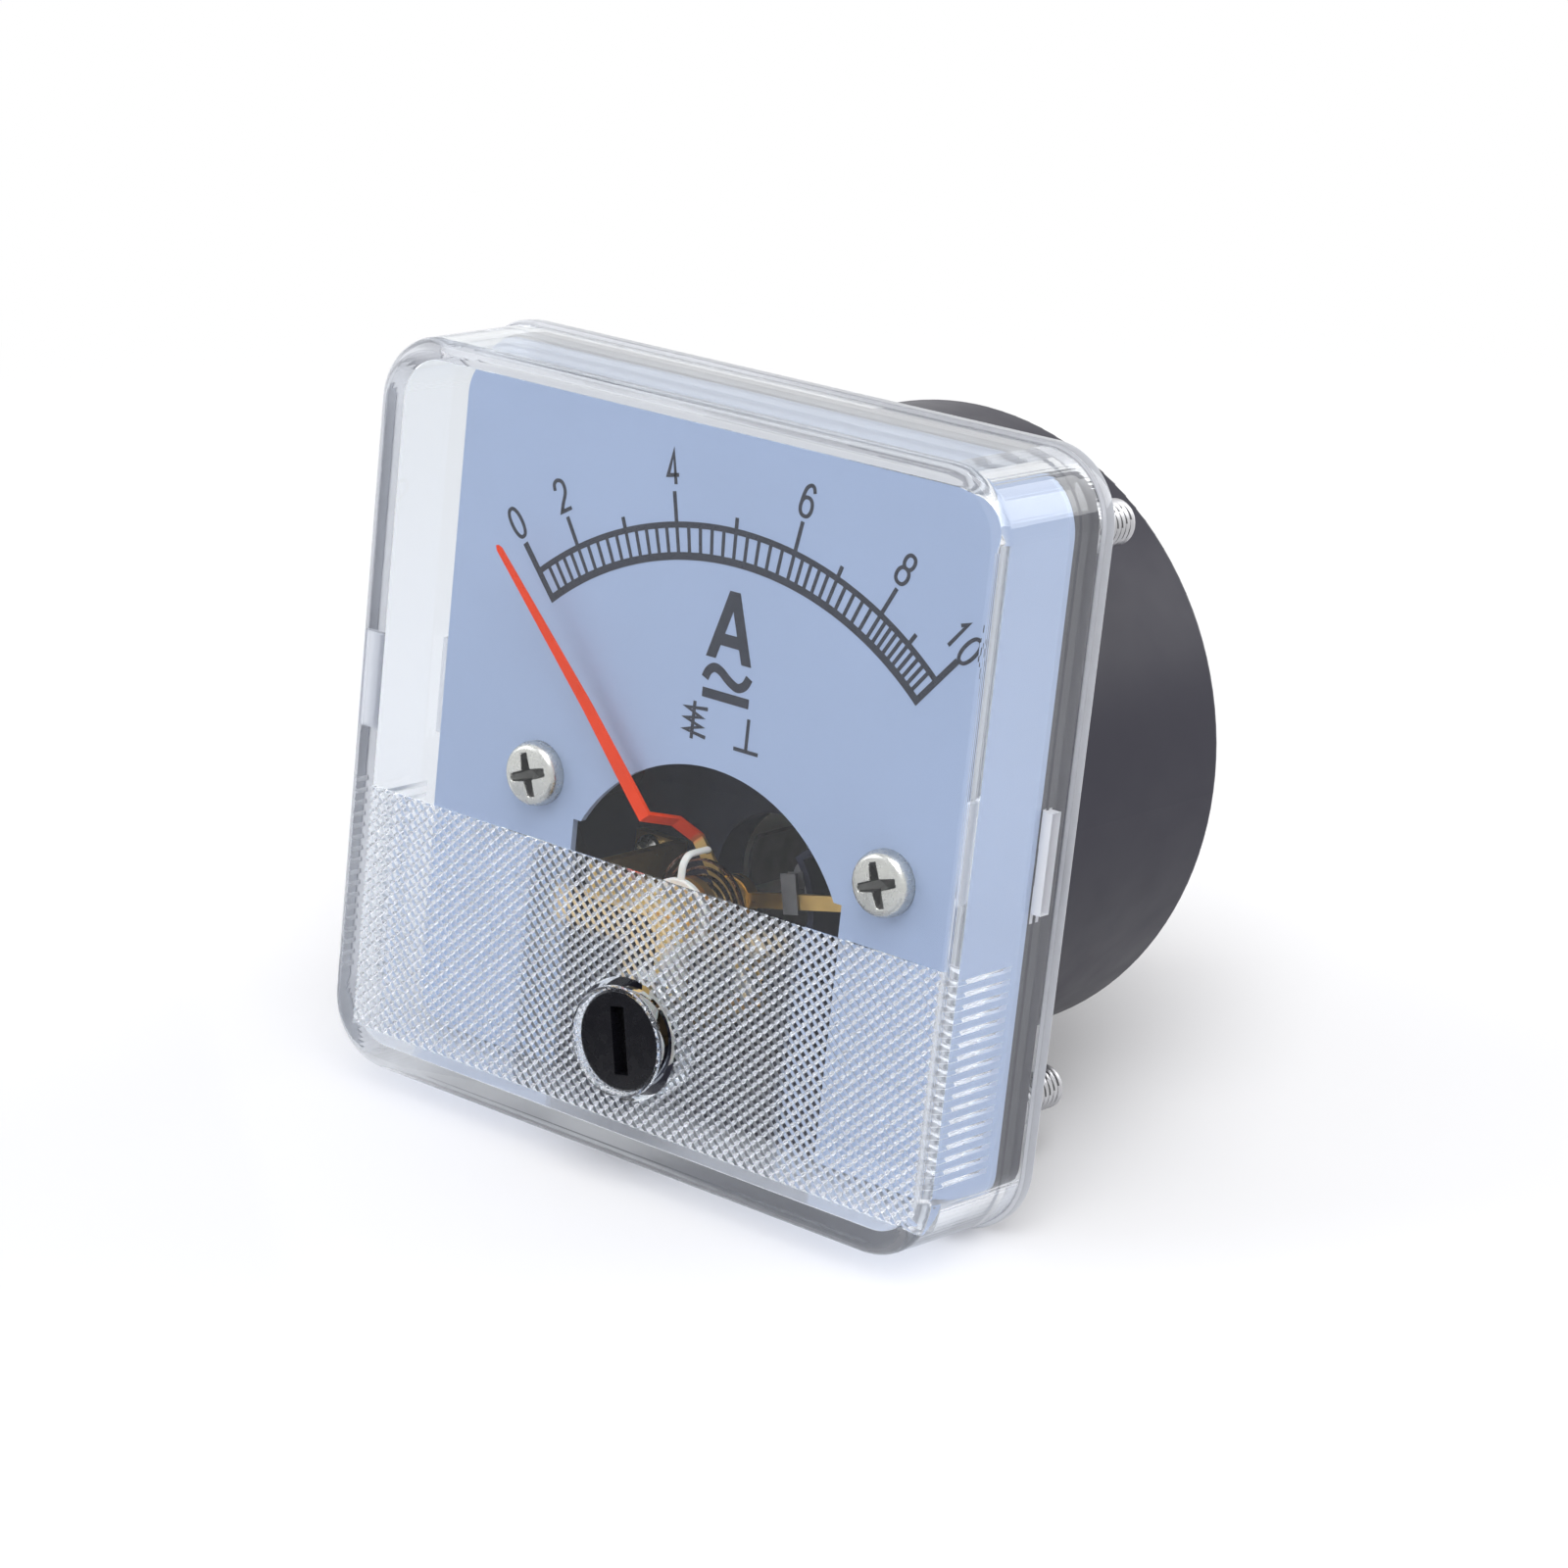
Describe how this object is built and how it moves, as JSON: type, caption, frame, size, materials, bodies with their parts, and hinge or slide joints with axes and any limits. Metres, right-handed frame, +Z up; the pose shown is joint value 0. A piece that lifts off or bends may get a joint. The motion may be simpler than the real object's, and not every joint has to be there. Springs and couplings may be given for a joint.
{
  "type": "analog panel meter",
  "caption": "Square analog current meter with a clear moulded cover, an arc scale, a red pointer, a zero adjuster and a round barrel for a panel hole.",
  "frame": {"origin": "on the barrel's axis, in the plane of the panel seat at the back of the flange", "axes": "the dial faces -Y, the barrel and the studs run towards +Y, +Z is up and +X is to the right as the dial is read"},
  "size_m": [0.051, 0.0458, 0.051],
  "materials": {
    "clear_plastic": "clear moulded acrylic, polished",
    "black_gloss_plastic": "black moulded plastic, satin gloss",
    "black_housing": "black moulded phenolic, matt",
    "dial_paint": "pale blue-white matt dial paint on aluminium sheet",
    "bright_screw": "bright nickel-plated steel",
    "frame_plastic": "black moulded plastic, matt",
    "brass_sheet": "plain brass sheet",
    "brass_turned": "turned brass, bright",
    "white_plastic": "white moulded plastic",
    "enamelled_copper": "copper wire with clear enamel",
    "soft_iron": "soft iron sheet",
    "steel_staff": "polished steel",
    "pointer_paint": "orange-red lacquer on aluminium sheet",
    "grey_clip": "grey sheet metal",
    "bright_wire": "tinned wire",
    "thin_aluminium": "thin aluminium sheet",
    "spring_bronze": "phosphor bronze strip",
    "terminal_brass": "brass, threaded",
    "plated_steel": "nickel-plated steel",
    "spring_steel": "spring steel, zinc-plated",
    "stud_steel": "zinc-plated steel, threaded"
  },
  "bodies": {
    "case": {"front_cover": "clear_plastic", "base_housing": "black_housing", "dial_plate": "dial_paint", "dial_screw_left": "bright_screw", "dial_screw_right": "bright_screw", "movement_frame": "frame_plastic", "frame_screws": "bright_screw", "bearing_bridge": "brass_sheet", "bridge_screws": "bright_screw", "front_jewel_screw": "brass_turned", "rear_jewel_screw": "brass_turned", "coil_bobbin": "white_plastic", "coil_winding": "enamelled_copper", "fixed_vane": "soft_iron", "terminal_stud_left": "terminal_brass", "terminal_stud_right": "terminal_brass", "terminal_washers": "plated_steel", "terminal_spring_washers": "spring_steel", "terminal_nuts": "plated_steel", "panel_stud_upper_left": "stud_steel", "panel_stud_upper_right": "stud_steel", "panel_stud_lower_left": "stud_steel", "panel_stud_lower_right": "stud_steel"},
    "moving_system": {"pointer": "pointer_paint", "pivot_staff": "steel_staff", "moving_vane": "soft_iron", "balance_arms": "brass_sheet", "balance_clip": "grey_clip", "tail_weight": "bright_wire", "side_weight": "bright_wire", "damper_vane": "thin_aluminium", "hairspring_collet": "brass_turned"},
    "zero_adjuster": {"zero_adjuster": "black_gloss_plastic"},
    "zero_lever": {"zero_lever": "white_plastic", "hairspring": "spring_bronze"}
  },
  "joints": [
    {"name": "pointer_swing", "type": "hinge", "parent": "case", "child": "moving_system", "pos_m": [0, 0, -0.0093], "axis": [0, 1, 0], "range_deg": [0, 82], "stiffness_Nm_per_rad": 0.00008, "deforming": ["hairspring"]},
    {"name": "zero_adjuster_turn", "type": "hinge", "parent": "case", "child": "zero_adjuster", "pos_m": [0, 0, -0.017], "axis": [0, 1, 0], "range_deg": [-60, 60]},
    {"name": "zero_lever_turn", "type": "hinge", "parent": "case", "child": "zero_lever", "pos_m": [0, 0, -0.0093], "axis": [0, 1, 0], "range_deg": [-7.5, 7.5]}
  ],
  "couplings": [
    {"joint": "zero_lever_turn", "follows": "zero_adjuster_turn", "ratio": 0.125}
  ]
}
